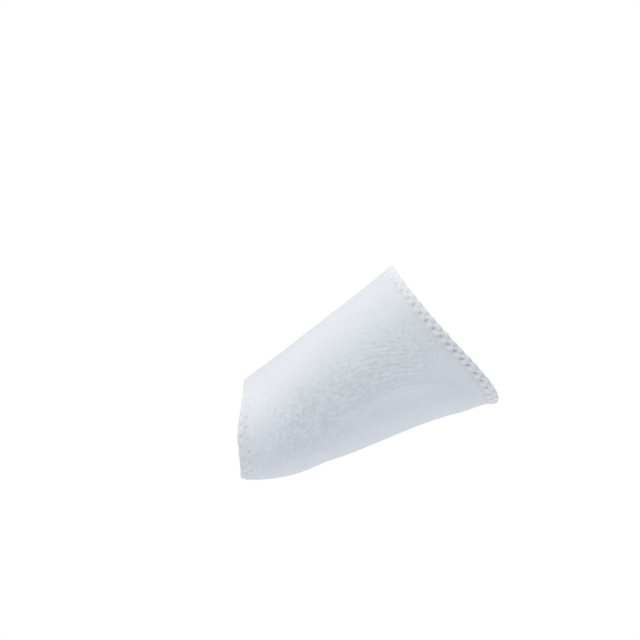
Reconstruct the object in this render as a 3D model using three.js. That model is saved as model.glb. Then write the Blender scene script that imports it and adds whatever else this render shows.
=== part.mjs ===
// Arch support sleeve: an open knitted tube for the middle of the foot, with a turned hem at each
// end and a pad under the arch. It is modelled as worn on a right foot, with the foot left out.
// Millimetres. +X runs from the toes to the heel, -Y is the inner (big toe) side, +Z is up.
// The origin lies where the ball of the foot bears on the sleeve.
import * as THREE from 'three';
import { ParametricGeometry } from 'three/addons/geometries/ParametricGeometry.js';

// Overall sizes of the sleeve as worn.
const SOLE_LENGTH = 122;      // toe end to ankle end, under the foot
const BALL_WIDTH = 92;        // across the ball of the foot
const INSTEP_HEIGHT = 85;     // ground to the top of the ankle end

// Cloth.
const KNIT_WALL = 1.3;        // one layer of the knit
const HEM_LAYERS = 2;         // the hem is turned over once
const HEM_WIDTH = 5.8;
const HEM_RISE = 0.3;         // how far the hem's face stands above the tube's
const SEAM_GAP = 0.3;         // between pieces that are sewn or bonded to each other

// Pad under the arch.
const PAD_LENGTH = 72;        // along the foot
const PAD_WIDTH = 50;         // from the side of the arch to under the sole
const PAD_THICKNESS = 8;
const PAD_EDGE = 0.8;         // how far its outer face rounds away from the cloth at the rim
const PAD_DOME_POWER = 1.3;   // how its depth builds up from the rim, with 1 for a half ball
const PAD_SETBACK = 2;        // from the ankle hem to the pad
const PAD_PUSH = 1.6;         // how far the pad presses the cloth outwards
const PAD_FADE = 9;           // width of the slope that the cloth takes over the rim of the pad
const PAD_ROUND_SHARE = 0.39; // middle of the pad, as a share of the way round the foot
const PAD_SINK_SHARE = 0.06;  // how much farther round it lies for one length of the sleeve
const PAD_RIM_SHARE = 1.09;   // where the cloth's slope ends, as a share of the pad's reach

// How far the two open edges bow out along the foot at its inner side, and how much farther back
// (toe end) or forward (ankle end) they lie on the outer side than on the inner side.
const TOE_BOW = 1.9;
const ANKLE_BOW = 4.6;
const TOE_SLANT = 2.5;
const ANKLE_SLANT = 3;
const OUTER_SIDE_SHARE = 0.35;  // share of the bow that the outer (little toe) side takes
const TOE_BOW_LEVEL = 0.641;    // where each bow is largest, as a share of the section's height
const ANKLE_BOW_LEVEL = 0.229;

// Sections of the worn form, from the toe end (0) to the ankle end (1). Each lies in a plane that
// leans with the foot, from its lowest point at the sole to its highest at the instep.
//   sole_x, top_x                 shares of SOLE_LENGTH
//   sole_z, top_z                 shares of INSTEP_HEIGHT
//   inner, outer, top_y, sole_y   shares of BALL_WIDTH: half widths, and where top and sole lie
//   inner_level, outer_level      how high the widest points lie, as shares of the section
//   the last four                 how square each quarter is, with 2 for an ellipse
const COLUMNS = ['at', 'sole_x', 'sole_z', 'top_x', 'top_z', 'inner', 'outer', 'top_y', 'sole_y',
  'inner_level', 'outer_level', 'top_inner', 'sole_inner', 'sole_outer', 'top_outer'];
const SECTION_SHARES = [
  [0.00, -0.082, 0.071, 0.008, 0.561, 0.475, 0.500, -0.120, 0.00, 0.42, 0.32, 2.2, 2.3, 2.7, 2.1],
  [0.25,  0.114, 0.001, 0.173, 0.673, 0.460, 0.490, -0.115, 0.03, 0.43, 0.29, 2.1, 2.2, 2.7, 2.0],
  [0.50,  0.407, 0.058, 0.338, 0.780, 0.400, 0.450, -0.095, 0.06, 0.44, 0.28, 2.1, 2.1, 2.7, 2.0],
  [0.75,  0.717, 0.123, 0.505, 0.883, 0.365, 0.405, -0.060, 0.05, 0.43, 0.30, 2.1, 2.2, 2.6, 2.1],
  [1.00,  0.935, 0.126, 0.674, 0.992, 0.360, 0.375, -0.025, 0.02, 0.41, 0.34, 2.1, 2.8, 2.4, 2.1],
];

// Rounded edge of a hem, once round from its fold: distance from the fold as a share of HEM_WIDTH,
// and height as a share of the hem's thickness.
const HEM_PROFILE_SHARES = [
  { back: 0.00, lift: 0.00 },
  { back: 0.07, lift: 0.34 },
  { back: 0.24, lift: 0.49 },
  { back: 0.60, lift: 0.54 },
  { back: 1.00, lift: 0.50 },
  { back: 1.00, lift: -0.50 },
  { back: 0.60, lift: -0.50 },
  { back: 0.24, lift: -0.49 },
  { back: 0.07, lift: -0.34 },
];

const PIECES_ROUND = 64;      // facets round the foot
const PIECES_ALONG = 20;      // facets along the foot
const PAD_PIECES_ROUND = 30;  // facets round the pad's rim
const PAD_PIECES_DEEP = 14;   // facets from the pad's outer face to its inner face
const SMALL_STEP = 1e-3;      // share over which the form's direction is measured
const EDGE_STEP = 1e-2;       // share over which lengths next to an open edge are measured

const hemThickness = HEM_LAYERS * KNIT_WALL;
const toeBowPower = Math.log(0.5) / Math.log(TOE_BOW_LEVEL);
const ankleBowPower = Math.log(0.5) / Math.log(ANKLE_BOW_LEVEL);

// A smooth curve through the rows of the table, read at a share along the foot.
function sectionAt(share) {
  const last = SECTION_SHARES.length - 1;
  let i = 0;
  while (i < last - 1 && share > SECTION_SHARES[i + 1][0]) i += 1;
  const from = SECTION_SHARES[i], to = SECTION_SHARES[i + 1];
  const step = to[0] - from[0];
  const t = (share - from[0]) / step;
  const change = (k, c) => SECTION_SHARES[k + 1][c] - SECTION_SHARES[k][c];
  const rise = (k, c) => change(k, c) / change(k, 0);
  const inside = (k, c) => (rise(k - 1, c) + rise(k, c)) / 2;
  const slope = (k, c) => {
    if (k === 0) return 2 * rise(0, c) - inside(1, c);
    if (k === last) return 2 * rise(last - 1, c) - inside(last - 1, c);
    return inside(k, c);
  };
  const section = {};
  for (let c = 1; c < COLUMNS.length; c += 1) {
    section[COLUMNS[c]] = (2 * t ** 3 - 3 * t ** 2 + 1) * from[c]
      + (t ** 3 - 2 * t ** 2 + t) * step * slope(i, c)
      + (3 * t ** 2 - 2 * t ** 3) * to[c]
      + (t ** 3 - t ** 2) * step * slope(i + 1, c);
  }
  return section;
}

// The smooth worn form. round: 0 at the top, 0.25 at the inner side, 0.5 at the sole, 0.75 at the
// outer side. along: 0 at the toe end, 1 at the ankle end.
function form(round, along) {
  const c = sectionAt(along);
  const turn = ((round % 1) + 1) % 1;
  const quarter = Math.min(Math.floor(turn * 4), 3);
  const part = turn * 4 - quarter;
  const onTop = quarter === 0 || quarter === 3;
  const onInner = quarter < 2;
  const square = [c.top_inner, c.sole_inner, c.sole_outer, c.top_outer][quarter];
  // Zero at the widest point, a right angle at the top or the sole.
  const angle = (quarter % 2 === 0 ? 1 - part : part) * Math.PI / 2;
  const wide = Math.abs(Math.cos(angle)) ** (2 / square);
  const high = Math.abs(Math.sin(angle)) ** (2 / square);
  const middle = onTop ? c.top_y : c.sole_y;
  const side = onInner ? -c.inner : c.outer;
  const level = onInner ? c.inner_level : c.outer_level;
  const height = onTop ? level + (1 - level) * high : level * (1 - high);
  const bow = ANKLE_BOW * Math.max(along, 0) ** 1.5 - TOE_BOW * Math.max(1 - along, 0) ** 1.5;
  const bowPower = toeBowPower ** (1 - along) * ankleBowPower ** along;
  const bowHere = bow * Math.sin(Math.PI * THREE.MathUtils.clamp(height, 0, 1) ** bowPower) ** 2;
  const across = middle + (side - middle) * wide;
  const slant = TOE_SLANT * Math.max(1 - along, 0) ** 2 - ANKLE_SLANT * Math.max(along, 0) ** 2;
  return new THREE.Vector3(
    SOLE_LENGTH * (c.sole_x + (c.top_x - c.sole_x) * height)
      + bowHere * (onInner ? 1 : OUTER_SIDE_SHARE) + slant * (0.5 + across) ** 2,
    BALL_WIDTH * across,
    INSTEP_HEIGHT * (c.sole_z + (c.top_z - c.sole_z) * height),
  );
}

// Direction that points out of the form, square to it.
function outward(round, along) {
  const across = form(round + SMALL_STEP, along).sub(form(round - SMALL_STEP, along));
  const lengthways = form(round, along + SMALL_STEP).sub(form(round, along - SMALL_STEP));
  return across.cross(lengthways).normalize();
}

// Where the pad lies: its middle and half sizes on the form, and how it sinks towards the heel.
const padAlong = 1 - (HEM_WIDTH + PAD_SETBACK + PAD_LENGTH / 2) / SOLE_LENGTH;
const quarterSteps = [];
for (let i = 0; i <= PIECES_ROUND; i += 1) quarterSteps.push(form((1 + i / PIECES_ROUND) / 4, padAlong));
const quarterLength = quarterSteps.slice(1).reduce((sum, p, i) => sum + p.distanceTo(quarterSteps[i]), 0);
const padPlace = {
  round: PAD_ROUND_SHARE,
  along: padAlong,
  halfRound: PAD_WIDTH / 2 / (4 * quarterLength),
  halfAlong: PAD_LENGTH / 2 / SOLE_LENGTH,
  sink: PAD_SINK_SHARE,
};

// Distance from the middle of the pad, 1 at its rim.
function padReach(round, along) {
  const across = (round - padPlace.round - padPlace.sink * (along - padPlace.along)) / padPlace.halfRound;
  return Math.hypot(across, (along - padPlace.along) / padPlace.halfAlong);
}

// Outer face of the cloth, with the pad pressing it out, plus a lift along its normal.
function cloth(round, along, lift) {
  const turn = ((round % 1) + 1) % 1;
  const fade = PAD_FADE / (PAD_WIDTH / 2);
  const t = THREE.MathUtils.clamp((PAD_RIM_SHARE - padReach(turn, along)) / fade, 0, 1);
  const push = PAD_PUSH * t * t * (3 - 2 * t);
  return form(round, along).addScaledVector(outward(round, along), push + lift);
}

// Share along the foot of a point at a distance in mm from the toe end or the ankle end.
function fromToe(round, distance) {
  return distance * EDGE_STEP / form(round, EDGE_STEP).distanceTo(form(round, 0));
}
function fromAnkle(round, distance) {
  return 1 - distance * EDGE_STEP / form(round, 1).distanceTo(form(round, 1 - EDGE_STEP));
}

// A closed tube wall: the loop of points is carried once round the foot. place(round, point) puts
// a point of the loop on the form.
function ring(loop, place) {
  const surface = (round, share, target) => {
    const position = share * loop.length;
    const i = Math.min(Math.floor(position), loop.length - 1);
    const from = place(round, loop[i]);
    const to = place(round, loop[(i + 1) % loop.length]);
    target.copy(from).lerp(to, position - i);
  };
  return new ParametricGeometry(surface, PIECES_ROUND, loop.length);
}

function piece(name, geometry, color) {
  const material = new THREE.MeshStandardMaterial({ color, roughness: 0.95, metalness: 0 });
  const mesh = new THREE.Mesh(geometry, material);
  mesh.name = name;
  return mesh;
}

const sleeve = new THREE.Group();

// The knitted tube, from one hem to the other: out along the foot on its face, back on its inside.
const wallLoop = [];
for (let i = 0; i <= PIECES_ALONG; i += 1) wallLoop.push({ at: i / PIECES_ALONG, lift: 0 });
for (let i = PIECES_ALONG; i >= 0; i -= 1) wallLoop.push({ at: i / PIECES_ALONG, lift: -KNIT_WALL });
const tube = ring(wallLoop, (round, p) => {
  const start = fromToe(round, HEM_WIDTH + SEAM_GAP);
  const end = fromAnkle(round, HEM_WIDTH + SEAM_GAP);
  return cloth(round, start + (end - start) * p.at, p.lift);
});
sleeve.add(piece('knit_sleeve', tube, 0xdde2e8));

// Turned hems, each as thick as its layers. Most of the turned layer lies inside the tube.
const hemLift = (p) => (p.lift - 0.5) * hemThickness + HEM_RISE;
const toeHem = ring(HEM_PROFILE_SHARES, (round, p) => (
  cloth(round, fromToe(round, p.back * HEM_WIDTH), hemLift(p))));
sleeve.add(piece('toe_hem', toeHem, 0xe6eaef));
const ankleLoop = [...HEM_PROFILE_SHARES].reverse();
const ankleHem = ring(ankleLoop, (round, p) => (
  cloth(round, fromAnkle(round, p.back * HEM_WIDTH), hemLift(p))));
sleeve.add(piece('ankle_hem', ankleHem, 0xe6eaef));

// The pad: a dome that lies against the inside of the tube and fills the arch.
const pad = new THREE.SphereGeometry(1, PAD_PIECES_ROUND, PAD_PIECES_DEEP);
const points = pad.getAttribute('position');
for (let i = 0; i < points.count; i += 1) {
  const [forward, up, across] = [points.getX(i), points.getY(i), points.getZ(i)];
  const along = padPlace.along + forward * padPlace.halfAlong;
  const round = padPlace.round + across * padPlace.halfRound + padPlace.sink * (along - padPlace.along);
  const rounding = PAD_EDGE * (1 - Math.abs(up));
  const dome = PAD_EDGE + (PAD_THICKNESS - PAD_EDGE) * Math.abs(up) ** PAD_DOME_POWER;
  const depth = up > 0 ? rounding : dome;
  const at = cloth(round, along, -KNIT_WALL - SEAM_GAP - depth);
  points.setXYZ(i, at.x, at.y, at.z);
}
pad.computeVertexNormals();
sleeve.add(piece('arch_pad', pad, 0xd3d7dc));

export default sleeve;
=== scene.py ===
"""Arch support sleeve, dressed: a fine ribbed knit tube in its worn shape, with a turned and
zigzag-stitched hem at each end and a soft pad inside, under the arch.

It keeps the part's own frame: +X to the ankle end, -Y to the inner side, +Z up. Sizes here are in
mm unless a comment says otherwise, and the meshes are in metres.
"""
import bpy
import numpy as np
from mathutils import Matrix, Vector


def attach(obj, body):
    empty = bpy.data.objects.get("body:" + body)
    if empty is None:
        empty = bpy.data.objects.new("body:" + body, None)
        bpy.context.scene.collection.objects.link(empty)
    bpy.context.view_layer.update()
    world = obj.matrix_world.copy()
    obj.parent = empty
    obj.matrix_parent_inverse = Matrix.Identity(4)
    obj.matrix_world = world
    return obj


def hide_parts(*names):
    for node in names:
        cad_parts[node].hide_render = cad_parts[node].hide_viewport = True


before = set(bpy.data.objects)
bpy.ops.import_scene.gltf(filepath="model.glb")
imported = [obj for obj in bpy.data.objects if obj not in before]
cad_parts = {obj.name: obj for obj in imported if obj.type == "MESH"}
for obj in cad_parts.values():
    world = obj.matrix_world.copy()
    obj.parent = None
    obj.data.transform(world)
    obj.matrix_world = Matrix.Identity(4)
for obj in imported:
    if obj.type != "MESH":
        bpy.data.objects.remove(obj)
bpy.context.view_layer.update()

MM = 0.001

# The worn sleeve.
SOLE_LENGTH, BALL_WIDTH, INSTEP_HEIGHT = 122.0, 92.0, 85.0
KNIT_WALL = 1.3
HEM_WIDTH, HEM_THICKNESS = 5.8, 2.6
HEM_RISE = 0.3                # how far a hem's face stands out from the smooth form
PAD_LENGTH, PAD_WIDTH, PAD_THICKNESS, PAD_EDGE = 72.0, 50.0, 8.0, 0.8
PAD_SETBACK = 2.0             # from the ankle hem to the pad
PAD_PUSH, PAD_FADE = 1.6, 9.0  # how far the pad pushes the knit out, and over how much that rises
SEAM_GAP = 0.3                # between the knit and the pad
TOE_BOW, ANKLE_BOW = 1.9, 4.6  # how far each end bows outwards between sole and top
OUTER_SIDE_SHARE = 0.35       # share of that bow on the outer side
TOE_BOW_POWER, ANKLE_BOW_POWER = 1.56, 0.47  # over 1 the bow's crest lies high, under 1 it lies low
TOE_SLANT, ANKLE_SLANT = 2.5, 3.0  # how far each end draws in at the outer side

# Sections from the toe end to the ankle end. Each row holds the share along, where the sole and the
# top lie as x and z, the half widths inside and outside, where the top and the sole lie across, the
# levels of the widest points inside and outside, and how square each quarter is: top inner, sole
# inner, sole outer and top outer.
SECTIONS = np.array([
    [0.00, -0.082, 0.071, 0.008, 0.561, 0.475, 0.500, -0.120, 0.00, 0.42, 0.32, 2.2, 2.3, 2.7, 2.1],
    [0.25, 0.114, 0.001, 0.173, 0.673, 0.460, 0.490, -0.115, 0.03, 0.43, 0.29, 2.1, 2.2, 2.7, 2.0],
    [0.50, 0.407, 0.058, 0.338, 0.780, 0.400, 0.450, -0.095, 0.06, 0.44, 0.28, 2.1, 2.1, 2.7, 2.0],
    [0.75, 0.717, 0.123, 0.505, 0.883, 0.365, 0.405, -0.060, 0.05, 0.43, 0.30, 2.1, 2.2, 2.6, 2.1],
    [1.00, 0.935, 0.126, 0.674, 0.992, 0.360, 0.375, -0.025, 0.02, 0.41, 0.34, 2.1, 2.8, 2.4, 2.1],
])


def sections_at(along):
    """Each column of the table as a smooth cubic through its rows, with slopes that average the
    rise on both sides of a row."""
    at, rows = SECTIONS[:, 0], SECTIONS[:, 1:]
    rise = np.diff(rows, axis=0) / np.diff(at)[:, None]
    slope = np.concatenate([rise[:1], (rise[:-1] + rise[1:]) / 2, rise[-1:]])
    slope[0], slope[-1] = 2 * rise[0] - slope[1], 2 * rise[-1] - slope[-2]
    i = np.clip(np.searchsorted(at, along, side="right") - 1, 0, len(at) - 2)
    step = (at[i + 1] - at[i])[..., None]
    t = (along - at[i])[..., None] / step
    return ((2 * t**3 - 3 * t**2 + 1) * rows[i] + (t**3 - 2 * t**2 + t) * step * slope[i]
            + (3 * t**2 - 2 * t**3) * rows[i + 1] + (t**3 - t**2) * step * slope[i + 1])


def form(turn, along):
    """Points of the smooth worn form. turn is 0 at the top, 0.25 at the inner side, 0.5 at the sole
    and 0.75 at the outer side; along is 0 at the toe end and 1 at the ankle end. Each section is
    four quarters of a superellipse, in a leaning plane. The ends bow outwards by the squared sine
    of a power of the height, and draw in at the outer side by a square."""
    turn, along = np.broadcast_arrays(np.mod(turn, 1.0), np.asarray(along, float))
    (sole_x, sole_z, top_x, top_z, inner, outer, top_y, sole_y, inner_level, outer_level,
     top_inner, sole_inner, sole_outer, top_outer) = np.moveaxis(sections_at(along), -1, 0)
    quarter = np.minimum(np.floor(turn * 4), 3)
    part = turn * 4 - quarter
    on_top, on_inner = (quarter == 0) | (quarter == 3), quarter < 2
    square = np.select([quarter == 0, quarter == 1, quarter == 2],
                       [top_inner, sole_inner, sole_outer], top_outer)
    angle = np.where(quarter % 2 == 0, 1 - part, part) * np.pi / 2
    wide = np.abs(np.cos(angle)) ** (2 / square)
    high = np.abs(np.sin(angle)) ** (2 / square)
    middle = np.where(on_top, top_y, sole_y)
    side = np.where(on_inner, -inner, outer)
    level = np.where(on_inner, inner_level, outer_level)
    height = np.where(on_top, level + (1 - level) * high, level * (1 - high))
    near_ankle, near_toe = np.clip(along, 0, None), np.clip(1 - along, 0, None)
    bow = ANKLE_BOW * near_ankle ** 1.5 - TOE_BOW * near_toe ** 1.5
    crest = TOE_BOW_POWER ** (1 - along) * ANKLE_BOW_POWER ** along
    bow = bow * np.sin(np.pi * np.clip(height, 0, 1) ** crest) ** 2
    bow = bow * np.where(on_inner, 1, OUTER_SIDE_SHARE)
    across = middle + (side - middle) * wide
    slant = TOE_SLANT * near_toe ** 2 - ANKLE_SLANT * near_ankle ** 2
    x = SOLE_LENGTH * (sole_x + (top_x - sole_x) * height) + bow + slant * (0.5 + across) ** 2
    return np.stack([x, BALL_WIDTH * across, INSTEP_HEIGHT * (sole_z + (top_z - sole_z) * height)], -1)


def outward(turn, along, e=1e-3):
    """Unit normal of the form: the cross product of its slopes round and along."""
    n = np.cross(form(turn + e, along) - form(turn - e, along),
                 form(turn, along + e) - form(turn, along - e))
    return n / np.linalg.norm(n, axis=-1, keepdims=True)


def ramp(x):
    """Smooth step from 0 to 1."""
    x = np.clip(x, 0, 1)
    return x * x * (3 - 2 * x)


def rising(x, start, span):
    """Smooth step from 0 at the start to 1 after the span."""
    return ramp((x - start) / span)


def hill(x, middle, width):
    """Smooth bump: 1 at the middle, and falling off on both sides as a bell curve."""
    return np.exp(-((x - middle) / width) ** 2)


# Where the pad's middle lies: share along, share round, and how the share round grows along.
PAD_ALONG = 1 - (HEM_WIDTH + PAD_SETBACK + PAD_LENGTH / 2) / SOLE_LENGTH
PAD_TURN, PAD_TWIST = 0.39, 0.06
PUSH_REACH = 1.09             # where the knit begins to rise over the pad, with the pad's rim at 1

# The pad's half width as a share round, measured on the inner lower quarter of its section.
inner_quarter = form(np.linspace(0.25, 0.5, 25), PAD_ALONG)
quarter_girth = np.linalg.norm(np.diff(inner_quarter, axis=0), axis=1).sum()
pad_half_turn = PAD_WIDTH / 2 / (4 * quarter_girth)


def pad_reach(turn, along):
    """Distance from the middle of the pad, 1 at its rim: an ellipse round and along the sleeve."""
    across = (turn - PAD_TURN - PAD_TWIST * (along - PAD_ALONG)) / pad_half_turn
    return np.hypot(across, (along - PAD_ALONG) / (PAD_LENGTH / 2 / SOLE_LENGTH))


def cloth(turn, along, lift):
    """The form pushed out over the pad by a smooth step, then lifted along its normal."""
    turn = np.mod(turn, 1.0)
    push = PAD_PUSH * ramp((PUSH_REACH - pad_reach(turn, along)) / (PAD_FADE / (PAD_WIDTH / 2)))
    return form(turn, along) + outward(turn, along) * (push + lift)[..., None]


def even_turn(share, along, points=1441):
    """The turn at which a share of the way round a section is reached, measured along the cloth."""
    fine = np.linspace(0, 1, points)
    out = np.empty(np.broadcast_shapes(share.shape, along.shape))
    for k in range(out.shape[0]):
        line = form(fine, np.full(fine.shape, along[k, 0]))
        run = np.concatenate([[0], np.cumsum(np.linalg.norm(np.diff(line, axis=0), axis=1))])
        out[k] = np.interp(share[min(k, len(share) - 1)], run / run[-1], fine)
    return out


def reach(turn, end, step=0.01):
    """How many mm one whole share of the length measures at the toe end (0) or ankle end (1): the
    length of a small step inwards, divided by that step."""
    inwards = step if end == 0 else -step
    return np.linalg.norm(form(turn, end + inwards) - form(turn, float(end)), axis=-1) / step


def at_distance(turn, distance, end):
    """Share along the sleeve of a point at a distance from the toe end (0) or ankle end (1)."""
    share = distance / reach(turn, end)
    return share if end == 0 else 1 - share


def lumps(x, y, size_x, size_y, seed, wrap=None, cells_y=512):
    """Smooth value noise from -1 to 1 on a plane: random values on a grid, joined by smooth steps.
    With wrap, the pattern repeats after that many mm in x."""
    rng = np.random.default_rng(seed)
    cells = max(int(round(wrap / size_x)), 1) if wrap else cells_y
    table = rng.uniform(-1, 1, (cells, cells_y))
    gx = x / wrap * cells if wrap else x / size_x
    gy = y / size_y
    ix, iy = np.floor(gx).astype(int), np.floor(gy).astype(int)
    tx, ty = ramp(gx - ix), ramp(gy - iy)
    a, b = table[ix % cells, iy % cells_y], table[(ix + 1) % cells, iy % cells_y]
    c, d = table[ix % cells, (iy + 1) % cells_y], table[(ix + 1) % cells, (iy + 1) % cells_y]
    return (a * (1 - tx) + b * tx) * (1 - ty) + (c * (1 - tx) + d * tx) * ty


def solid(name, points, faces, flat, values):
    """Puts points in mm into a new object, with one array of faces for each number of corners, the
    place of each corner in mm on the flat cloth as the UV map, and named numbers per point."""
    corners = np.concatenate([face.ravel() for face in faces])
    counts = np.concatenate([np.full(len(face), face.shape[1]) for face in faces])
    mesh = bpy.data.meshes.new(name)
    mesh.vertices.add(len(points))
    mesh.vertices.foreach_set("co", (points * MM).astype(np.float32).ravel())
    mesh.loops.add(len(corners))
    mesh.loops.foreach_set("vertex_index", corners.astype(np.int32))
    mesh.polygons.add(len(counts))
    mesh.polygons.foreach_set("loop_start", (np.cumsum(counts) - counts).astype(np.int32))
    mesh.polygons.foreach_set("use_smooth", np.ones(len(counts), bool))
    mesh.update(calc_edges=True)
    mesh.uv_layers.new(name="cloth").uv.foreach_set("vector", (flat * MM).astype(np.float32).ravel())
    for key, numbers in values.items():
        layer = mesh.attributes.new(key, "FLOAT", "POINT")
        layer.data.foreach_set("value", numbers.astype(np.float32).ravel())
    mesh.validate()
    piece = bpy.data.objects.new(name, mesh)
    bpy.context.collection.objects.link(piece)
    return piece


def closed_grid(name, points, flat, values):
    """A piece from a grid that closes on itself in both directions, like the wall of a tube carried
    once round. flat has one more row and column than points."""
    rows, cols = points.shape[:2]
    i, j = np.meshgrid(np.arange(rows), np.arange(cols), indexing="ij")
    ring = [(i, j), (i, j + 1), (i + 1, j + 1), (i + 1, j)]
    faces = np.stack([(a % rows) * cols + (b % cols) for a, b in ring], -1).reshape(-1, 4)
    corner = np.stack([flat[a, b] for a, b in ring], 2).reshape(-1, 2)
    return solid(name, points.reshape(-1, 3), [faces], corner, values)


def plane(across, upwards):
    """A grid of flat places from their distances across and upwards."""
    return np.stack(np.broadcast_arrays(across, upwards), -1)


def distances(line):
    """Length run along a closed line at each of its points, and its whole length at the end."""
    steps = np.linalg.norm(np.diff(line, axis=0, append=line[:1]), axis=1)
    return np.concatenate([[0], np.cumsum(steps)])


def tube(name, line, normals, radius, sides=7):
    """A round thread carried along a closed line. The ring at each point is a circle set square to
    the line with the surface's normal, so it never twists."""
    ahead = np.roll(line, -1, 0) - np.roll(line, 1, 0)
    ahead /= np.linalg.norm(ahead, axis=1, keepdims=True)
    side = np.cross(ahead, normals)
    side /= np.linalg.norm(side, axis=1, keepdims=True)
    up = np.cross(side, ahead)
    angle = np.linspace(0, 2 * np.pi, sides, endpoint=False)
    ring = line[:, None] + radius * (np.cos(angle)[None, :, None] * side[:, None]
                                     + np.sin(angle)[None, :, None] * up[:, None])
    turn = np.linspace(0, 2 * np.pi * radius, sides + 1)
    return closed_grid(name, ring, plane(turn[None, :], distances(line)[:, None]), {})


SLIGHT = 0.12                 # share of its relief that a hem keeps at the top and the sole


def bold(share):
    """How much a hem stands out: fully at the sides, and slightly at the top and under the sole,
    where the cloth is pulled tight. It follows a squared sine round the sleeve."""
    return SLIGHT + (1 - SLIGHT) * np.sin(2 * np.pi * share) ** 2


# The knit. Its patterns are measured by the tube's mean girth and length.
KNIT_GIRTH, KNIT_LENGTH = 230.0, 118.0
ROUND, ALONG, INSIDE = 720, 122, 12  # columns of the grid, and its rows on the face and inside
TUCK = 1.0                    # how far each end lies under its hem
RIBS = 96                     # lengthwise ribs, once round
RIB_HEIGHT, PEBBLE_HEIGHT = 0.11, 0.17
RIB_FAN = 0.35                # share by which ribs lie farther apart on top, at the ankle end
RIB_LEAN, LEAN_START = 0.9, 0.55  # how ribs lean down the inner side, and the share where they start
RIB_TOE_SHARE = 0.25          # share of their height that ribs have at the toe end
RIB_LOST = 0.7                # share of their height that ribs lose at the ankle hem
RIBS_GROW, RIBS_FADE = (0.30, 0.40), (0.78, 0.14)  # shares along where that starts, and their spans
RIB_BREAK, RIB_FULL = 0.40, 1.5  # mean share of its height that a broken rib has, and the most
PEBBLES_LOST = 0.4            # share of their height that pebbles lose to the ankle end
FLANK_PLACE, FLANK_WIDTH = 0.195, 0.062  # shares round, where the knit is slackest
FLANK_TOE_SHARE = 0.35        # share of that slackness at the toe end
FLANK_GROWS = (0.05, 0.25)    # share along where it starts to grow, and the span
TIGHT_SLACK, FLANK_SLACK = 0.10, 0.64  # slackness of tight knit, and what the flank adds
RIM_CREASE = 0.50             # depth of the crease above the pad's rim
CREASE_REACH, CREASE_WIDTH = 1.13, 0.11  # where it lies, with the pad's rim at 1
CREASE_END, CREASE_FADE = 0.40, 0.1  # share round where the crease has ended, and its fading
CREASE_EDGE = 8               # how far from the hems it is at its full depth
KNIT_SINK = 0.12              # how far the knit lies under the smooth form
CALM_EDGE = 3                 # how far from the tube's ends the relief is at its full height
TOE_RISE, TOE_SIDE_RISE = 0.20, 0.08  # rise to the toe hem, and what the sides add
ANKLE_RISE, RISE_REACH = 0.16, 7.0  # rise to the ankle hem at top and sole, and how far rises reach
ANKLE_DIP, DIP_PLACE, DIP_REACH = 0.13, 1.0, 2.0  # dip beside the ankle hem, at the sides
END_DROP, DROP_REACH = 0.12, 0.5  # drop of the very ends under their hems
PAINTED_SHADE_ALL, PAINTED_SHADE_FLANK, PAINTED_SHADE_CREASE = 0.29, 0.32, 0.06  # painted shade: how dark all, the flank and the crease look
RIB_SHADE_SPAN = 1.3                # painted shade between ribs: how many rib heights turn the darkest yarn into the palest
PAINTED_TOE_LIGHT, PAINTED_LIGHT_PLACE, PAINTED_LIGHT_WIDTH = 0.42, 0.165, 0.05  # painted light: a paler stripe on the upper side at the toe end
PAINTED_LIGHT_FADES = (0.05, 0.35)     # share along where the painted light starts to fade, and the span
SHADOW, SHADOW_PLACE, SHADOW_REACH = 0.35, 1.3, 1.0  # painted shadow beside the ankle hem

# Uneven patterns of the knit: weight, size round and along, and seed.
KNIT_NOISE = {
    "bend": (1.5, 10, 22, 11),       # slow wander of the ribs
    "shake": (1.3, 4.5, 6, 12),      # quick wander of the ribs
    "breaks": (1.25, 2.8, 3.4, 13),  # where the ribs come and go
    "loops": (1.2, 1.1, 1.2, 14),    # pebbles of single loops
    "clumps": (0.5, 2.2, 2.0, 15),   # pebbles of a few loops
    "waves": (0.18, 22, 30, 16),     # broad unevenness of the worn cloth, in mm
}


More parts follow.
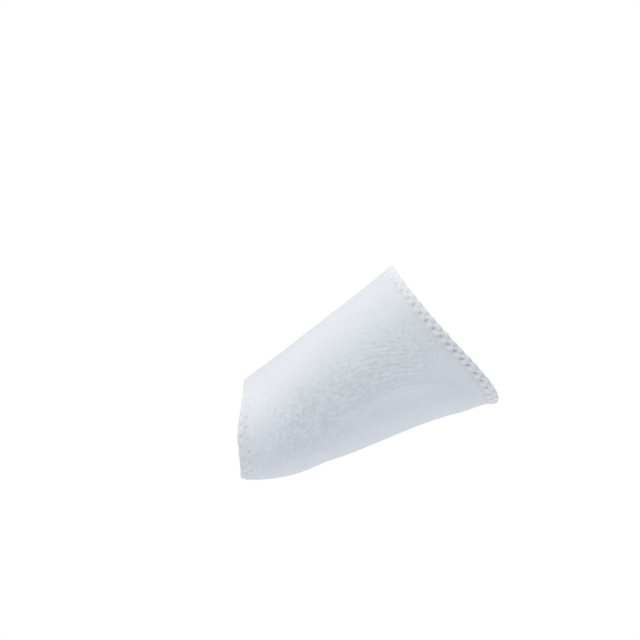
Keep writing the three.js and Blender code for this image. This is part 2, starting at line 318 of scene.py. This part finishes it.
def make_knit():
    """The tube's wall, a loop out along its face and back inside, carried once round. The face
    carries lengthwise ribs, a cosine of the share round that wanders, leans, breaks off and comes
    again, and the pebbles of the loops. Both are strongest on the slack flank. It creases above the
    pad's rim, rises softly to the hems and tucks under them. The inner face is smooth. A value per
    point paints shade and light: darker between the ribs, on the flank, in the crease and beside the
    ankle hem, and paler in a stripe at the toe end. slack says how loose the knit is. Both go from 0
    to 1."""
    share = np.linspace(0, 1, ROUND, endpoint=False)[None, :]
    rows = np.concatenate([np.linspace(0, 1, ALONG), np.linspace(1, 0, INSIDE)])[:, None]
    place = share + RIB_FAN * ramp(rows) / (2 * np.pi) * np.sin(2 * np.pi * share)
    turn = even_turn(place, rows)
    start, end = at_distance(turn, HEM_WIDTH - TUCK, 0), at_distance(turn, HEM_WIDTH - TUCK, 1)
    along = start + (end - start) * rows
    x, y = share * KNIT_GIRTH, rows * KNIT_LENGTH
    edge = np.minimum(rows, 1 - rows) * KNIT_LENGTH
    side = bold(share)

    def uneven(kind, shift=0.0):
        weight, size_round, size_along, seed = KNIT_NOISE[kind]
        return weight * lumps(x - shift, y, size_round, size_along, seed, KNIT_GIRTH)

    flank = hill(np.minimum(place, 1 - place), FLANK_PLACE, FLANK_WIDTH)
    flank = flank * (FLANK_TOE_SHARE + (1 - FLANK_TOE_SHARE) * rising(rows, *FLANK_GROWS))
    slack = TIGHT_SLACK + FLANK_SLACK * flank
    lean = RIB_LEAN * np.clip(rows - LEAN_START, 0, None) ** 2 * KNIT_LENGTH
    wander = uneven("bend") + uneven("shake")
    rib = 0.5 + 0.5 * np.cos(2 * np.pi * RIBS * (share - lean / KNIT_GIRTH) + wander)
    strength = RIB_TOE_SHARE + (1 - RIB_TOE_SHARE) * rising(rows, *RIBS_GROW)
    strength = strength * (1 - RIB_LOST * rising(rows, *RIBS_FADE)) * slack
    strength = strength * np.clip(RIB_BREAK + uneven("breaks", lean), 0, RIB_FULL)
    pebble = slack * (1 - PEBBLES_LOST * rows) * (uneven("loops") + uneven("clumps"))
    relief = RIB_HEIGHT * strength * (rib - 0.5) + PEBBLE_HEIGHT / 2 * pebble

    crease = hill(pad_reach(turn, along), CREASE_REACH, CREASE_WIDTH)
    crease = crease * ramp((CREASE_END - turn) / CREASE_FADE) * ramp(edge / CREASE_EDGE)
    to_toe, to_ankle = TOE_RISE + TOE_SIDE_RISE * side, ANKLE_RISE * (1 - side)
    lift = (relief + uneven("waves")) * ramp(edge / CALM_EDGE) - KNIT_SINK - RIM_CREASE * crease
    lift += hill(edge, 0, RISE_REACH) * (to_toe * (1 - rows) + to_ankle * rows)
    lift -= ANKLE_DIP * side * hill(edge, DIP_PLACE, DIP_REACH) * rows
    lift -= END_DROP * (edge < DROP_REACH)
    lift[ALONG:] = -KNIT_WALL

    # Painted light: a paler stripe at the toe end. Painted shade: darker on the flank, in the crease
    # above the pad, beside the ankle hem and between the ribs.
    pale = PAINTED_TOE_LIGHT * hill(place, PAINTED_LIGHT_PLACE, PAINTED_LIGHT_WIDTH) * (1 - rising(rows, *PAINTED_LIGHT_FADES))
    shadow = SHADOW * side * hill(edge, SHADOW_PLACE, SHADOW_REACH) * rows
    painted_shading = PAINTED_SHADE_ALL + PAINTED_SHADE_FLANK * flank - pale + PAINTED_SHADE_CREASE * crease + shadow
    painted_shading = np.clip(painted_shading - relief / (RIB_SHADE_SPAN * RIB_HEIGHT), 0, 1)
    painted_shading[ALONG:] = 0.5
    flat = plane(np.linspace(0, KNIT_GIRTH, ROUND + 1)[None, :], np.append(y, 0.0)[:, None])
    values = {"painted_shading": painted_shading, "slack": slack + 0 * painted_shading}
    return closed_grid("knit_tube", cloth(turn, along, lift), flat, values)


# The hems. rows are the distances of the two rows of needle holes from the fold, depths how deep
# they draw the cloth in and how dark they are painted, border the extra drop of the face beside the
# tube, scallop how far the stitches pull the fold in, thread the thread's radius, and puff the height
# from the valleys to the beads between the stitches and the strength of their painted shade and light.
HEMS = {
    "toe": dict(end=0, pitch=4.9, rows=(1.5, 4.5), depths=(0.5, 0.5), border=-0.26, scallop=0.05,
                thread=0.14, puff=0.06, seed=31),
    "ankle": dict(end=1, pitch=4.8, rows=(0.8, 3.2), depths=(0.5, 1.25), border=0.14, scallop=0.40,
                  thread=0.24, puff=0.50, seed=41),
}
HEM_ROUND, HEM_LOOP = 960, 46  # points round the sleeve and round the section
FOLD_ROUND, FOLD_UNDER = 0.7, 1.5  # how far the fold curves round, on its face and inside
FOLD_LEVEL = 0.5              # height of the fold's crest over the hem's middle
HEM_SLOPE = 2.4               # width over which the face slopes down to the tube
HEM_SINK = 0.14               # depth of the face's end under the smooth form, before the border
FACE_START, FACE_SPAN = -0.1, 0.7  # where the face begins to take relief, in half thicknesses
TURNED_EDGE = 0.5             # rounding of the turned layer's edge
HOLE_ROUND, HOLE_ALONG = 0.55, 0.60  # size of a needle hole, round and along the sleeve
HOLE_SHIFT = 0.07             # how far a hole may lie off its place, as a share of the pitch
HOLE_SHARE = 0.8              # share of a hole's depth that the cloth itself dips
BEAD_REACH = 1.0              # size of a bead along the sleeve
OUTER_BEAD, INNER_BEAD = 0.2, 0.9  # how far the beads lie behind their row of holes
FOLD_REACH = 1.3              # how far from the fold it is drawn in
PAINTED_HEM_SHADE, PAINTED_VALLEY_SHADE, PAINTED_BEAD_LIGHT = 0.6, 0.8, 0.9  # painted shade of a hem and its valleys, and painted light on its beads
HEM_NOISE = (0.10, 3.1, 1.6)  # unevenness of the face: height, size round and size along
FOLD_NOISE = (0.12, 2.3, 1)   # unevenness of the fold, the same way
ARCH_POWER = 0.7              # under 1 a stitch is flatter on top
THREAD_SINK, THREAD_ARCH = 1.5, 1.1  # depth in a hole and height of the arch, in thread radii
BOLD_ARCH = 0.8               # what the arch gains where the hem stands out, in thread radii
THREAD_LOWEST = 0.5           # the deepest that a stitch follows the face down


def hem_profile(border):
    """Closed loop of a turned hem's section as (distance from the fold, height): a quarter ellipse
    at the fold, a flat face that slopes softly down to the tube's face, the rounded edge of the
    turned layer, and a flat inner face that meets the fold in a wider quarter ellipse."""
    half, slope_start = HEM_THICKNESS / 2, HEM_WIDTH - HEM_SLOPE
    drop = HEM_RISE + HEM_SINK + border
    q = np.linspace(0, np.pi / 2, 16)
    t = np.linspace(0, 1, 10)
    fold, under = FOLD_ROUND * (1 - np.cos(q)), FOLD_UNDER * (1 - np.cos(q))
    loop = np.concatenate([
        np.stack([fold, FOLD_LEVEL + (half - FOLD_LEVEL) * np.sin(q)], 1),
        np.stack([slope_start + (HEM_WIDTH - slope_start) * t, half - drop * ramp(t)], 1),
        np.stack([HEM_WIDTH - TURNED_EDGE + TURNED_EDGE * np.cos(q),
                  -half + TURNED_EDGE - TURNED_EDGE * np.sin(q)], 1),
        np.stack([under, FOLD_LEVEL - (half + FOLD_LEVEL) * np.sin(q)], 1)[:0:-1]])
    run = distances(loop)
    even = np.linspace(0, run[-1], HEM_LOOP, endpoint=False)
    closed = np.concatenate([loop, loop[:1]])
    return np.stack([np.interp(even, run, closed[:, k]) for k in (0, 1)], 1), even


def stitches(hem, points=2000):
    """Needle holes: the girth of the end, how many pitches fit round it, and the share round of each
    hole. Holes of the two rows alternate, and each is a little off its place."""
    fine = np.linspace(0, 1, points)
    line = form(fine, np.full(fine.shape, float(hem["end"])))
    girth = np.linalg.norm(np.diff(line, axis=0), axis=1).sum()
    count = int(round(girth / hem["pitch"]))
    rng = np.random.default_rng(hem["seed"])
    outer = (np.arange(count) + rng.uniform(-HOLE_SHIFT, HOLE_SHIFT, count)) / count
    inner = (np.arange(count) + 0.5 + rng.uniform(-HOLE_SHIFT, HOLE_SHIFT, count)) / count
    return girth, count, outer, inner


def hem_surface(hem, share, back, height):
    """Displaces a hem's face: beads and valleys that swap places between the two rows of stitches,
    bell-shaped dents at the needle holes, a fold drawn in by a cosine at the outer holes, and soft
    unevenness. The relief fades at the top and the sole, where the face sinks to the tube's. Returns
    the new distance and height, and the painted shade: darker in the needle holes, the valleys and
    over the hem, and paler on the beads."""
    girth, count, outer, inner = stitches(hem)
    x = share * girth
    face = rising(height / (HEM_THICKNESS / 2), FACE_START, FACE_SPAN)
    dent = np.zeros(np.broadcast_shapes(x.shape, back.shape))
    for holes, offset, row, depth in zip((outer, inner), (0, 0.5), hem["rows"], hem["depths"]):
        nearest = np.clip(np.round(share * count - offset).astype(int), 0, None) % count
        near = x - holes[nearest] * girth
        near = (near + girth / 2) % girth - girth / 2
        squares = (near / HOLE_ROUND) ** 2 + ((back - row) / HOLE_ALONG) ** 2
        dent = np.maximum(dent, depth * np.exp(-squares))
    wave = 0.5 + 0.5 * np.cos(2 * np.pi * share * count)
    outer_row = hill(back - hem["rows"][0], OUTER_BEAD, BEAD_REACH)
    inner_row = hill(back - hem["rows"][1], INNER_BEAD, BEAD_REACH)
    bead = (1 - wave) * outer_row + wave * inner_row
    valley = wave * outer_row + (1 - wave) * inner_row
    weight, size_round, size_along = HEM_NOISE
    uneven = lumps(x + 0 * back, back + 0 * x, size_round, size_along, hem["seed"] + 1, girth)
    puffs = weight * uneven - HOLE_SHARE * dent + hem["puff"] * (bead - valley) / 2
    side = bold(share)
    slope = ramp((back - HEM_WIDTH + HEM_SLOPE) / HEM_SLOPE)
    flush = (HEM_RISE + hem["border"] * slope) * (1 - side) * (height > 0)
    height = height + face * (side * puffs - flush)
    edge = hill(back, 0, FOLD_REACH)
    weight, size_round, size_along = FOLD_NOISE
    uneven = lumps(x, 0 * x, size_round, size_along, hem["seed"] + 2, girth)
    back = back + hem["scallop"] * side * wave * edge + weight * edge * uneven
    # Painted shade in the valleys and over the hem, and painted light on the beads; the needle holes
    # add more painted shade below.
    painted_bead_shading = np.clip(hem["puff"] * (PAINTED_HEM_SHADE + PAINTED_VALLEY_SHADE * valley - PAINTED_BEAD_LIGHT * bead), 0, 1)
    return back, height, (dent + painted_bead_shading) * face * side


def make_hem(name, hem):
    """A turned hem: its section carried round one end of the tube."""
    profile, run = hem_profile(hem["border"])
    if hem["end"] == 1:
        profile = profile[::-1]
    share = np.linspace(0, 1, HEM_ROUND, endpoint=False)[None, :]
    turn = even_turn(share, np.full((1, 1), float(hem["end"])))
    back, height, painted_hem_shading = hem_surface(hem, share, profile[:, :1], profile[:, 1:])
    girth = stitches(hem)[0]
    along = at_distance(turn, back, hem["end"])
    points = cloth(turn + 0 * back, along, height - HEM_THICKNESS / 2 + HEM_RISE)
    section = np.append(run, run[-1] + run[1])[:, None]
    flat = plane(np.linspace(0, girth, HEM_ROUND + 1)[None, :], section)
    return closed_grid(name, points, flat, {"painted_shading": np.clip(painted_hem_shading, 0, 1)})


def make_stitching(name, hem, steps=10):
    """The zigzag thread: straight from each hole of the outer row to the next of the inner row and
    back, arched over the hem between them as a power of a sine, and dipping into the holes."""
    girth, count, outer, inner = stitches(hem)
    stops = np.stack([outer, inner], 1).ravel()
    stops = np.append(stops, stops[0] + 1)
    rows = np.concatenate([np.tile(hem["rows"], count), hem["rows"][:1]])
    t = np.arange(0, 2 * count, 1 / steps)
    k = np.arange(2 * count + 1)
    share, back = np.interp(t, k, stops), np.interp(t, k, rows)
    arch = np.abs(np.sin(np.pi * t)) ** ARCH_POWER
    half, radius = HEM_THICKNESS / 2, hem["thread"]
    top = hem_surface(hem, share, back, np.full(back.shape, half))[1]
    bend = np.clip((FOLD_ROUND - back) / FOLD_ROUND, 0, 1)
    round_off = (1 - np.sqrt(1 - bend ** 2)) * (half - FOLD_LEVEL)
    rise = radius * (-THREAD_SINK + (THREAD_ARCH + BOLD_ARCH * bold(share)) * arch)
    height = np.maximum(top, half - THREAD_LOWEST) - round_off + rise
    turn = even_turn(np.mod(share, 1)[None, :], np.full((1, 1), float(hem["end"])))[0]
    along = at_distance(turn, back, hem["end"])
    return tube(name, cloth(turn, along, height - half + HEM_RISE), outward(turn, along), radius)


PAD_RINGS, PAD_SPOKES = 64, 120
PAD_DOME_POWER = 1.3          # 1 gives half an ellipse, and more thins sooner to the rim
PAD_NOISE = (0.10, 6, 6, 51)  # unevenness of its inner face: height, size round and along, and seed
PAD_SLACK = 0.6               # share of the specks that its cover shows


def make_pad():
    """The pad: a dome against the inside of the tube. Rings run from the middle of its outer face
    over the rim to the middle of its inner face, a half turn of a circle for each spoke, and the
    inner face's depth follows a power of the circle's height."""
    lat = np.linspace(0, np.pi, PAD_RINGS + 1)[1:-1][:, None]
    lon = np.linspace(0, 2 * np.pi, PAD_SPOKES, endpoint=False)[None, :]
    out, up = np.sin(lat), np.cos(lat)
    along = PAD_ALONG + out * np.sin(lon) * PAD_LENGTH / 2 / SOLE_LENGTH
    turn = PAD_TURN + out * np.cos(lon) * pad_half_turn + PAD_TWIST * (along - PAD_ALONG)
    x, y = turn * KNIT_GIRTH, along * KNIT_LENGTH
    weight, size_round, size_along, seed = PAD_NOISE
    soft = weight * lumps(x, y, size_round, size_along, seed) * (up < 0)
    dome = PAD_EDGE + (PAD_THICKNESS - PAD_EDGE) * np.abs(up) ** PAD_DOME_POWER
    depth = np.where(up > 0, PAD_EDGE * (1 - np.abs(up)), dome)
    points = cloth(turn, along, -KNIT_WALL - SEAM_GAP - depth + soft)
    poles = cloth(np.array([PAD_TURN, PAD_TURN]), np.array([PAD_ALONG, PAD_ALONG]),
                  -KNIT_WALL - SEAM_GAP - np.array([0.0, PAD_THICKNESS]))
    rows, cols = points.shape[:2]
    i, j = np.meshgrid(np.arange(rows - 1), np.arange(cols), indexing="ij")
    quads = np.stack([i * cols + j, (i + 1) * cols + j, (i + 1) * cols + (j + 1) % cols,
                      i * cols + (j + 1) % cols], -1).reshape(-1, 4)
    j = np.arange(cols)
    first, last = rows * cols, (rows - 1) * cols
    caps = np.concatenate([np.stack([np.full(cols, first), j, (j + 1) % cols], 1),
                           np.stack([np.full(cols, first + 1), last + (j + 1) % cols, last + j], 1)])
    every = np.concatenate([points.reshape(-1, 3), poles])
    pole = [PAD_TURN * KNIT_GIRTH, PAD_ALONG * KNIT_LENGTH]
    flat = np.concatenate([np.stack([x.ravel(), y.ravel()], 1), [pole, pole]])
    corners = np.concatenate([quads.ravel(), caps.ravel()])
    values = {"painted_shading": np.zeros(len(every)), "slack": np.full(len(every), PAD_SLACK)}
    return solid("arch_cushion", every, [quads, caps], flat[corners], values)


class Nodes:
    """Short way to place and join shader nodes in one tree."""

    def __init__(self, tree):
        self.tree = tree

    def add(self, kind, **settings):
        node = self.tree.nodes.new(kind)
        for key, value in settings.items():
            setattr(node, key, value)
        return node

    def join(self, source, target):
        self.tree.links.new(source, target)

    def noise(self, place, dimensions, detail):
        node = self.add("ShaderNodeTexNoise", noise_dimensions=dimensions)
        node.inputs["Detail"].default_value = detail
        self.join(place, node.inputs["Vector"])
        return node

    def math(self, operation, a, b=None, c=None, clamp=False):
        node = self.add("ShaderNodeMath", operation=operation, use_clamp=clamp)
        for socket, value in zip(node.inputs, (a, b, c)):
            if value is None:
                continue
            if isinstance(value, (int, float)):
                socket.default_value = value
            else:
                self.join(value, socket)
        return node.outputs[0]

    def mix(self, factor, a, b):
        node = self.add("ShaderNodeMix", data_type="RGBA")
        for socket, value in ((node.inputs[0], factor), (node.inputs[6], a), (node.inputs[7], b)):
            if isinstance(value, (int, float, tuple)):
                socket.default_value = value
            else:
                self.join(value, socket)
        return node.outputs[2]


def group(name, inputs):
    """An empty shader node group with a Place, named number inputs (name, start value), and Height
    and Shade as its outputs."""
    tree = bpy.data.node_groups.new(name, "ShaderNodeTree")
    tree.interface.new_socket("Place", in_out="INPUT", socket_type="NodeSocketVector")
    for label, value in inputs:
        socket = tree.interface.new_socket(label, in_out="INPUT", socket_type="NodeSocketFloat")
        socket.default_value = value
    for label in ("Height", "Shade"):
        tree.interface.new_socket(label, in_out="OUTPUT", socket_type="NodeSocketFloat")
    n = Nodes(tree)
    return n, n.add("NodeGroupInput").outputs, n.add("NodeGroupOutput").inputs


WALE, COURSE = 0.0011, 0.0008  # width and height of a loop of the knit, in metres
WAVER, WAVER_SCALE = 0.25, 420.0  # how far loops waver, and their noise for one metre
LEG_SLANT = 1.2               # how steeply a loop's legs lean
LEG_POWER = 0.6               # under 1 the strand is fuller across
LOOP_DEPTH = 0.7              # how much a strand dips between courses
STRAND_GAIN = 1.15            # brings the strand's crest to full colour


def build_knit_loops():
    """Rows of V-shaped knit loops: two slanted legs a wale, each a strand rounded by sines and
    repeated every course. Height is the strand's roundness, Shade is 0 between strands and 1 on
    them."""
    n, put, out = group("knit_loops", [("Wale", WALE), ("Course", COURSE), ("Waver", WAVER)])
    split = n.add("ShaderNodeSeparateXYZ")
    n.join(put["Place"], split.inputs[0])
    noise = n.noise(put["Place"], "2D", 1.0)
    noise.inputs["Scale"].default_value = WAVER_SCALE
    waver = n.math("MULTIPLY", n.math("SUBTRACT", noise.outputs[0], 0.5), put["Waver"])
    x = n.math("ADD", n.math("DIVIDE", split.outputs[0], put["Wale"]), waver)
    y = n.math("ADD", n.math("DIVIDE", split.outputs[1], put["Course"]), waver)
    leg = n.math("SINE", n.math("MULTIPLY", n.math("FRACT", n.math("MULTIPLY", x, 2.0)), np.pi))
    from_middle = n.math("ABSOLUTE", n.math("SUBTRACT", n.math("FRACT", x), 0.5))
    slant = n.math("MULTIPLY", from_middle, LEG_SLANT)
    loop = n.math("SINE", n.math("MULTIPLY", n.math("FRACT", n.math("ADD", y, slant)), np.pi))
    loop = n.math("MULTIPLY_ADD", loop, LOOP_DEPTH, 1 - LOOP_DEPTH)
    strand = n.math("MULTIPLY", n.math("POWER", leg, LEG_POWER), loop)
    n.join(strand, out["Height"])
    n.join(n.math("MULTIPLY", strand, STRAND_GAIN, clamp=True), out["Shade"])
    return n.tree


FIBRE_SIZE = 0.0006           # size of the yarn's fluff, in metres
FIBRE_NOISES = ((1.0, 4.0), (0.12, 2.0))  # scale beside that of the fluff, and detail


def build_fibre():
    """Fine fluff of the yarn: two sizes of noise. Height is the fine one and Shade the mean of both,
    from 0 to 1."""
    n, put, out = group("yarn_fluff", [("Size", FIBRE_SIZE)])
    rough = n.math("DIVIDE", 1.0, put["Size"])
    parts = []
    for factor, detail in FIBRE_NOISES:
        noise = n.noise(put["Place"], "3D", detail)
        noise.inputs["Roughness"].default_value = 0.65
        n.join(n.math("MULTIPLY", rough, factor), noise.inputs["Scale"])
        parts.append(noise.outputs[0])
    n.join(parts[0], out["Height"])
    n.join(n.math("MULTIPLY_ADD", parts[0], 0.5, n.math("MULTIPLY", parts[1], 0.5)), out["Shade"])
    return n.tree


LOOPS, FLUFF = build_knit_loops(), build_fibre()
FLUFF_SHARE = 0.25            # how much of the shade the fluff mixes in
DEEP_SHARE = 0.62             # brightness of the specks and of the deepest painted shade, as a share of the shade's
SPECK_SCALE = 950.0           # specks for one metre
SPECK_GAIN, SPECK_START = 5.0, -2.2  # how sharply specks stand out of their noise, and from where
SPECK_DEPTH = 0.26
BUMP_HEIGHT = 0.00018         # of the loops, in metres
ROUGHNESS, ROUGHER = 0.84, 0.12  # roughness of bare yarn, and what the fluff adds


def yarn(name, light, shade, wale=WALE, course=COURSE, bump=0.3, painted_shading=0.5, thread=False):
    """Matt cloth of one yarn: knit loops and fluff in its colour and bump, with painted shade between
    the strands, dark specks where the knit is slack, and painted shade where the surface dips between
    ribs or into needle holes, as a value per point gives it. A thread has neither specks nor that
    painted shade."""
    material = bpy.data.materials.new(name)
    material.use_nodes = True
    n = Nodes(material.node_tree)
    shader = material.node_tree.nodes["Principled BSDF"]
    solid_place = n.add("ShaderNodeTexCoord").outputs["Object"]
    loops = n.add("ShaderNodeGroup", node_tree=LOOPS)
    n.join(n.add("ShaderNodeUVMap", uv_map="cloth").outputs[0], loops.inputs["Place"])
    loops.inputs["Wale"].default_value, loops.inputs["Course"].default_value = wale, course
    fuzz = n.add("ShaderNodeGroup", node_tree=FLUFF)
    n.join(solid_place, fuzz.inputs["Place"])
    strand = n.mix(loops.outputs["Shade"], shade, light)
    colour = n.mix(n.math("MULTIPLY", fuzz.outputs["Shade"], FLUFF_SHARE), strand, shade)
    if not thread:
        speck_and_shade_colour = tuple(c * DEEP_SHARE for c in shade[:3]) + (1.0,)
        grain = n.noise(solid_place, "3D", 1.0)
        grain.inputs["Scale"].default_value = SPECK_SCALE
        specks = n.math("MULTIPLY_ADD", grain.outputs[0], SPECK_GAIN, SPECK_START, clamp=True)
        slack = n.add("ShaderNodeAttribute", attribute_name="slack").outputs["Fac"]
        specks = n.math("MULTIPLY", n.math("MULTIPLY", specks, slack), SPECK_DEPTH)
        # Painted shade: a value per point mixes in the darkest shade colour.
        shading_amount = n.add("ShaderNodeAttribute", attribute_name="painted_shading").outputs["Fac"]
        colour = n.mix(specks, colour, speck_and_shade_colour)
        colour = n.mix(n.math("MULTIPLY", shading_amount, painted_shading, clamp=True), colour, speck_and_shade_colour)
    n.join(colour, shader.inputs["Base Color"])
    rough = n.math("MULTIPLY_ADD", fuzz.outputs["Shade"], ROUGHER, ROUGHNESS)
    n.join(rough, shader.inputs["Roughness"])
    height = n.math("MULTIPLY_ADD", fuzz.outputs["Height"], 0.5, loops.outputs["Height"])
    lift = n.add("ShaderNodeBump")
    lift.inputs["Strength"].default_value = bump
    lift.inputs["Distance"].default_value = BUMP_HEIGHT
    n.join(height, lift.inputs["Height"])
    n.join(lift.outputs[0], shader.inputs["Normal"])
    shader.inputs["Specular IOR Level"].default_value = 0.25
    shader.inputs["Sheen Weight"].default_value = 0.12
    shader.inputs["Sheen Roughness"].default_value = 0.5
    return material


# Each yarn has a light colour and a painted shade colour, used between strands and in dips.
KNIT_LIGHT, KNIT_SHADE = (0.792, 0.810, 0.828, 1.0), (0.717, 0.738, 0.764, 1.0)
TOE_LIGHT, TOE_SHADE = (0.770, 0.781, 0.795, 1.0), (0.696, 0.711, 0.733, 1.0)
HEM_LIGHT, HEM_SHADE = (0.826, 0.838, 0.844, 1.0), (0.725, 0.740, 0.748, 1.0)
THREAD_LIGHT, THREAD_SHADE = (0.862, 0.870, 0.872, 1.0), (0.786, 0.795, 0.800, 1.0)
PAD_LIGHT, PAD_SHADE = (0.800, 0.815, 0.838, 1.0), (0.690, 0.709, 0.738, 1.0)
TWIST = dict(wale=0.0006, course=0.0009, thread=True)  # the twist of a thread, in metres
COARSE = dict(wale=0.0014, course=0.0011)  # the coarser loops of the pad's cover, in metres

knit = make_knit()
toe_hem = make_hem("toe_hem_band", HEMS["toe"])
ankle_hem = make_hem("ankle_hem_band", HEMS["ankle"])
toe_thread = make_stitching("toe_stitching", HEMS["toe"])
ankle_thread = make_stitching("ankle_stitching", HEMS["ankle"])
pad = make_pad()

for piece, material in (
    (knit, yarn("ribbed_knit", KNIT_LIGHT, KNIT_SHADE, bump=0.35, painted_shading=0.42)),
    (toe_hem, yarn("turned_hem_toe", TOE_LIGHT, TOE_SHADE, bump=0.4, painted_shading=0.6)),
    (ankle_hem, yarn("turned_hem_ankle", HEM_LIGHT, HEM_SHADE, bump=0.4, painted_shading=0.85)),
    (toe_thread, yarn("zigzag_thread_toe", TOE_LIGHT, TOE_SHADE, **TWIST)),
    (ankle_thread, yarn("zigzag_thread_ankle", THREAD_LIGHT, THREAD_SHADE, **TWIST)),
    (pad, yarn("pad_cover", PAD_LIGHT, PAD_SHADE, bump=0.4, **COARSE)),
):
    piece.data.materials.append(material)
    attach(piece, "root")

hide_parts("knit_sleeve")
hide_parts("toe_hem")
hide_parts("ankle_hem")
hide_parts("arch_pad")

PICTURE_WIDTH, SENSOR_WIDTH = 640, 36.0  # pixels, and mm


def look_from(azimuth, elevation, roll, distance, aim, pixels_per_mm):
    """The photograph's view: from an azimuth and elevation in degrees, aimed at a point, with the
    picture turned by roll. The lens gives the scale at the aim in a picture of that width."""
    a, e, r = np.radians([azimuth, elevation, roll])
    back = np.array([np.sin(a) * np.cos(e), -np.cos(a) * np.cos(e), np.sin(e)])
    right = np.array([np.cos(a), np.sin(a), 0.0])
    up = np.cross(back, right)
    across, above = np.cos(r) * right - np.sin(r) * up, np.sin(r) * right + np.cos(r) * up
    camera = bpy.data.objects.new("camera", bpy.data.cameras.new("camera"))
    bpy.context.collection.objects.link(camera)
    turn = Matrix([across, above, back]).transposed().to_4x4()
    camera.matrix_world = Matrix.Translation(Vector((np.array(aim) + back * distance) * MM)) @ turn
    camera.data.sensor_width = SENSOR_WIDTH
    camera.data.lens = SENSOR_WIDTH * distance * pixels_per_mm / PICTURE_WIDTH
    camera.data.clip_start, camera.data.clip_end = 0.01, 20.0
    bpy.context.scene.camera = camera


look_from(azimuth=0, elevation=9, roll=13.4, distance=950, aim=(43.0, 0.0, 67.1), pixels_per_mm=2.14)


def far_light(name, strength, spread, lean, colour):
    """A wide, soft light from far away, as wide as spread and leaning from overhead towards the
    camera's side by lean, both in degrees. It reaches the floor too, so the floor lights the sole."""
    lamp = bpy.data.lights.new(name, "SUN")
    lamp.energy, lamp.angle, lamp.color = strength, np.radians(spread), colour
    holder = bpy.data.objects.new(name, lamp)
    holder.rotation_euler = (np.radians(lean), 0.0, 0.0)
    bpy.context.collection.objects.link(holder)


far_light("overhead", strength=2.07, spread=70, lean=0, colour=(1.0, 0.950, 0.903))
far_light("front_fill", strength=0.48, spread=70, lean=50, colour=(1.0, 0.985, 0.955))

# The room: blue-grey walls light the sleeve, and the camera sees plain white behind it.
WALL_COLOUR, WHITE = (0.423, 0.469, 0.534, 1), (1, 1, 1, 1)
world = bpy.data.worlds.new("studio")
bpy.context.scene.world = world
world.use_nodes = True
world.node_tree.nodes.clear()
w = Nodes(world.node_tree)
walls, white = w.add("ShaderNodeBackground"), w.add("ShaderNodeBackground")
walls.inputs[0].default_value, white.inputs[0].default_value = WALL_COLOUR, WHITE
both = w.add("ShaderNodeMixShader")
w.join(w.add("ShaderNodeLightPath").outputs["Is Camera Ray"], both.inputs[0])
w.join(walls.outputs[0], both.inputs[1])
w.join(white.outputs[0], both.inputs[2])
w.join(both.outputs[0], w.add("ShaderNodeOutputWorld").inputs[0])

# The floor: it sends light up to the sole, and looks plain white too.
FLOOR_REACH, FLOOR_DEPTH = 4.0, 0.6  # metres
FLOOR_COLOUR = (0.80, 0.81, 0.83, 1)
signs = ((-1, -1), (1, -1), (1, 1), (-1, 1))
corners = [(x * FLOOR_REACH, y * FLOOR_REACH, -FLOOR_DEPTH) for x, y in signs]
floor = bpy.data.objects.new("floor", bpy.data.meshes.new("floor"))
floor.data.from_pydata(corners, [], [(0, 1, 2, 3)])
bpy.context.collection.objects.link(floor)
pale = bpy.data.materials.new("pale_floor")
pale.use_nodes = True
f = Nodes(pale.node_tree)
pale_shader = pale.node_tree.nodes["Principled BSDF"]
pale_shader.inputs["Base Color"].default_value = FLOOR_COLOUR
pale_shader.inputs["Roughness"].default_value = 0.9
choose = f.add("ShaderNodeMixShader")
f.join(f.add("ShaderNodeLightPath").outputs["Is Camera Ray"], choose.inputs[0])
f.join(pale_shader.outputs[0], choose.inputs[1])
f.join(f.add("ShaderNodeEmission").outputs[0], choose.inputs[2])
f.join(choose.outputs[0], pale.node_tree.nodes["Material Output"].inputs[0])
floor.data.materials.append(pale)

bpy.context.scene.view_settings.view_transform = "Standard"
bpy.context.scene.view_settings.look = "None"
